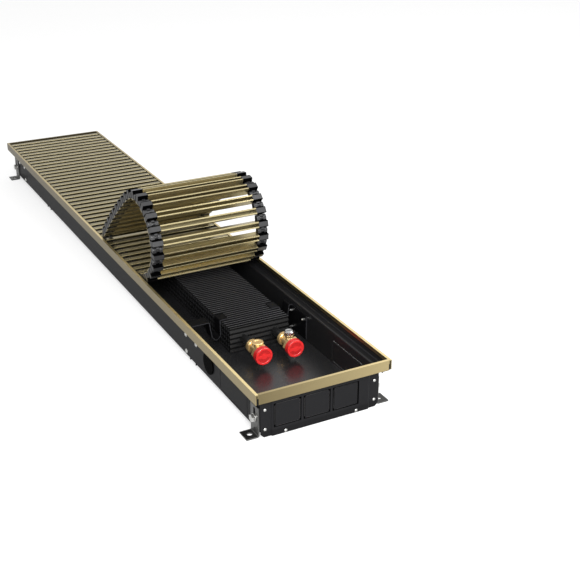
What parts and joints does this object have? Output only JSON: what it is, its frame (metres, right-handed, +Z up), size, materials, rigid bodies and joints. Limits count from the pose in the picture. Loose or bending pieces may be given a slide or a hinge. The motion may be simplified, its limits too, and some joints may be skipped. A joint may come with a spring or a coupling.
{
  "type": "trench convector heater",
  "caption": "Floor-recessed trench convector heater: sheet-steel channel with a finned exchanger, capped brass fittings, an edge frame and a roll-up slatted grille, partly rolled back.",
  "frame": {"origin": "centre of the footprint, on the ground plane under the feet", "axes": "+Z up, +Y along the channel from the connection end to the far end, +X across it to the right as seen from the connection end"},
  "size_m": [0.2666, 1.5, 0.2575],
  "materials": {
    "black_sheet": "satin black powder coat",
    "black_exchanger": "satin black stove enamel",
    "champagne_frame": "champagne anodised",
    "champagne_slat": "champagne anodised, brushed along the slat",
    "black_link": "moulded, matt",
    "zinc_plate": "zinc plated",
    "zinc_bracket": "galvanised sheet",
    "brass": "turned",
    "vent_chrome": "fluted and polished",
    "cap_red": "moulded",
    "grommet_rubber": "matt"
  },
  "bodies": {
    "channel": {"floor_sheet": "black_sheet", "side_wall_left": "black_sheet", "side_wall_right": "black_sheet", "end_plate_near": "black_sheet", "end_plate_far": "black_sheet", "support_rails": "black_sheet", "trim_left": "champagne_frame", "trim_right": "champagne_frame", "trim_near": "champagne_frame", "trim_far": "champagne_frame", "side_grommet": "grommet_rubber", "end_rivets": "zinc_plate", "exchanger_fins": "black_exchanger", "exchanger_tubes": "black_exchanger", "hanger_near_left": "black_sheet", "hanger_near_right": "black_sheet", "hanger_far_left": "black_sheet", "hanger_far_right": "black_sheet", "hanger_screws": "zinc_plate", "fitting_left": "brass", "fitting_right": "brass", "rear_nut_left": "brass", "rear_nut_right": "brass", "blind_plug": "brass", "foot_bolts": "zinc_plate", "foot_nuts": "zinc_plate", "grille_slats": "champagne_slat", "grille_links": "black_link"},
    "foot_near_left": {"foot_near_left": "zinc_bracket"},
    "foot_far_left": {"foot_far_left": "zinc_bracket"},
    "foot_near_right": {"foot_near_right": "zinc_bracket"},
    "foot_far_right": {"foot_far_right": "zinc_bracket"},
    "cap_left": {"cap_left": "cap_red"},
    "cap_right": {"cap_right": "cap_red"},
    "vent_knob": {"vent_knob": "vent_chrome"},
    "slat_01": {"rolled_slat_01": "champagne_slat"},
    "slat_02": {"rolled_slat_02": "champagne_slat"},
    "slat_03": {"rolled_slat_03": "champagne_slat"},
    "slat_04": {"rolled_slat_04": "champagne_slat"},
    "slat_05": {"rolled_slat_05": "champagne_slat"},
    "slat_06": {"rolled_slat_06": "champagne_slat"},
    "slat_07": {"rolled_slat_07": "champagne_slat"},
    "slat_08": {"rolled_slat_08": "champagne_slat"},
    "slat_09": {"rolled_slat_09": "champagne_slat"},
    "slat_10": {"rolled_slat_10": "champagne_slat"},
    "slat_11": {"rolled_slat_11": "champagne_slat"},
    "slat_12": {"rolled_slat_12": "champagne_slat"},
    "slat_13": {"rolled_slat_13": "champagne_slat"},
    "slat_14": {"rolled_slat_14": "champagne_slat"},
    "slat_15": {"rolled_slat_15": "champagne_slat"},
    "slat_16": {"rolled_slat_16": "champagne_slat"},
    "slat_17": {"rolled_slat_17": "champagne_slat"},
    "slat_18": {"rolled_slat_18": "champagne_slat"},
    "slat_19": {"rolled_slat_19": "champagne_slat"},
    "slat_20": {"rolled_slat_20": "champagne_slat"},
    "slat_21": {"rolled_slat_21": "champagne_slat"},
    "slat_22": {"rolled_slat_22": "champagne_slat"}
  },
  "joints": [
    {"name": "foot_near_left_height", "type": "slide", "parent": "channel", "child": "foot_near_left", "axis": [0, 0, 1], "range_m": [-0.016, 0]},
    {"name": "foot_far_left_height", "type": "slide", "parent": "channel", "child": "foot_far_left", "axis": [0, 0, 1], "range_m": [-0.016, 0]},
    {"name": "foot_near_right_height", "type": "slide", "parent": "channel", "child": "foot_near_right", "axis": [0, 0, 1], "range_m": [-0.016, 0]},
    {"name": "foot_far_right_height", "type": "slide", "parent": "channel", "child": "foot_far_right", "axis": [0, 0, 1], "range_m": [-0.016, 0]},
    {"name": "cap_left_pull", "type": "slide", "parent": "channel", "child": "cap_left", "axis": [0, -1, 0], "range_m": [0, 0.02]},
    {"name": "cap_right_pull", "type": "slide", "parent": "channel", "child": "cap_right", "axis": [0, -1, 0], "range_m": [0, 0.02]},
    {"name": "vent_turn", "type": "hinge", "parent": "channel", "child": "vent_knob", "pos_m": [0.0515, -0.5265, 0.0513], "axis": [0, 0, 1], "range_deg": [0, 360]},
    {"name": "roll_01", "type": "hinge", "parent": "channel", "child": "slat_01", "pos_m": [0, -0.2057, 0.0827], "axis": [1, 0, 0], "range_deg": [0, 8.5]},
    {"name": "roll_02", "type": "hinge", "parent": "slat_01", "child": "slat_02", "pos_m": [0, -0.22963, 0.08628], "axis": [1, 0, 0], "range_deg": [0, 10]},
    {"name": "roll_03", "type": "hinge", "parent": "slat_02", "child": "slat_03", "pos_m": [0, -0.25258, 0.09396], "axis": [1, 0, 0], "range_deg": [0, 11]},
    {"name": "roll_04", "type": "hinge", "parent": "slat_03", "child": "slat_04", "pos_m": [0, -0.27365, 0.10587], "axis": [1, 0, 0], "range_deg": [0, 15]},
    {"name": "roll_05", "type": "hinge", "parent": "slat_04", "child": "slat_05", "pos_m": [0, -0.29091, 0.12283], "axis": [1, 0, 0], "range_deg": [0, 18]},
    {"name": "roll_06", "type": "hinge", "parent": "slat_05", "child": "slat_06", "pos_m": [0, -0.30208, 0.1443], "axis": [1, 0, 0], "range_deg": [0, 20]},
    {"name": "roll_07", "type": "hinge", "parent": "slat_06", "child": "slat_07", "pos_m": [0, -0.30524, 0.16829], "axis": [1, 0, 0], "range_deg": [0, 19]},
    {"name": "roll_08", "type": "hinge", "parent": "slat_07", "child": "slat_08", "pos_m": [0, -0.30042, 0.19201], "axis": [1, 0, 0], "range_deg": [0, 17.5]},
    {"name": "roll_09", "type": "hinge", "parent": "slat_08", "child": "slat_09", "pos_m": [0, -0.28868, 0.21317], "axis": [1, 0, 0], "range_deg": [0, 16]},
    {"name": "roll_10", "type": "hinge", "parent": "slat_09", "child": "slat_10", "pos_m": [0, -0.27157, 0.23028], "axis": [1, 0, 0], "range_deg": [0, 16]},
    {"name": "roll_11", "type": "hinge", "parent": "slat_10", "child": "slat_11", "pos_m": [0, -0.25041, 0.24202], "axis": [1, 0, 0], "range_deg": [0, 17]},
    {"name": "roll_12", "type": "hinge", "parent": "slat_11", "child": "slat_12", "pos_m": [0, -0.22673, 0.24705], "axis": [1, 0, 0], "range_deg": [0, 19]},
    {"name": "roll_13", "type": "hinge", "parent": "slat_12", "child": "slat_13", "pos_m": [0, -0.20271, 0.2441], "axis": [1, 0, 0], "range_deg": [0, 17]},
    {"name": "roll_14", "type": "hinge", "parent": "slat_13", "child": "slat_14", "pos_m": [0, -0.18061, 0.23426], "axis": [1, 0, 0], "range_deg": [0, 10.5]},
    {"name": "roll_15", "type": "hinge", "parent": "slat_14", "child": "slat_15", "pos_m": [0, -0.16066, 0.22055], "axis": [1, 0, 0], "range_deg": [0, 2]},
    {"name": "roll_16", "type": "hinge", "parent": "slat_15", "child": "slat_16", "pos_m": [0, -0.14121, 0.20615], "axis": [1, 0, 0], "range_deg": [0, 1]},
    {"name": "roll_17", "type": "hinge", "parent": "slat_16", "child": "slat_17", "pos_m": [0, -0.12201, 0.19142], "axis": [1, 0, 0], "range_deg": [0, 1]},
    {"name": "roll_18", "type": "hinge", "parent": "slat_17", "child": "slat_18", "pos_m": [0, -0.10307, 0.17636], "axis": [1, 0, 0], "range_deg": [0, 1]},
    {"name": "roll_19", "type": "hinge", "parent": "slat_18", "child": "slat_19", "pos_m": [0, -0.0844, 0.16096], "axis": [1, 0, 0], "range_deg": [0, 1]},
    {"name": "roll_20", "type": "hinge", "parent": "slat_19", "child": "slat_20", "pos_m": [0, -0.066, 0.14525], "axis": [1, 0, 0], "range_deg": [0, 1]},
    {"name": "roll_21", "type": "hinge", "parent": "slat_20", "child": "slat_21", "pos_m": [0, -0.04787, 0.12921], "axis": [1, 0, 0], "range_deg": [0, 1.5]},
    {"name": "roll_22", "type": "hinge", "parent": "slat_21", "child": "slat_22", "pos_m": [0, -0.03017, 0.11271], "axis": [1, 0, 0], "range_deg": [0, 1]}
  ]
}
